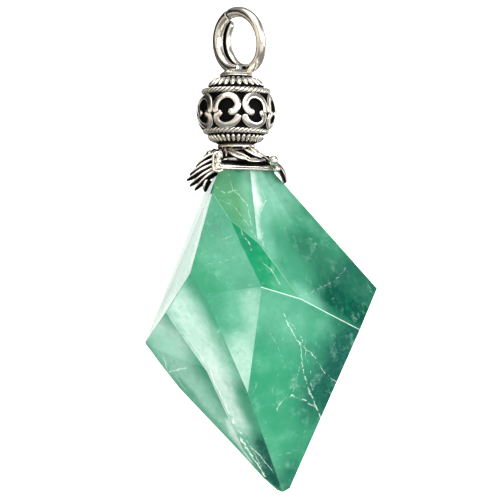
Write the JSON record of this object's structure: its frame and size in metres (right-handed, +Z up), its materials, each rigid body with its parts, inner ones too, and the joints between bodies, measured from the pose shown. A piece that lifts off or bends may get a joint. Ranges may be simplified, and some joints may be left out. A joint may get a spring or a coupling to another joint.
{
  "type": "fluorite pendant",
  "caption": "Polished green fluorite octahedron pendant with a silver leaf cap, scrollwork bead and wire ring that hangs on a chain.",
  "frame": {"origin": "top of the ring's eye, where a chain bears on the wire", "axes": "+Z up along the hanging pendant, -Y towards the stone's crest, +X to the right of a viewer who faces the crest"},
  "size_m": [0.0294, 0.0249, 0.06],
  "materials": {
    "fluorite": "polished, hazy",
    "oxidised_silver": "polished relief on a blackened ground",
    "polished_silver": "polished"
  },
  "bodies": {
    "root": {"stone": "fluorite", "cap": "oxidised_silver", "neck": "polished_silver", "bead": "oxidised_silver", "ring": "polished_silver"}
  },
  "joints": []
}
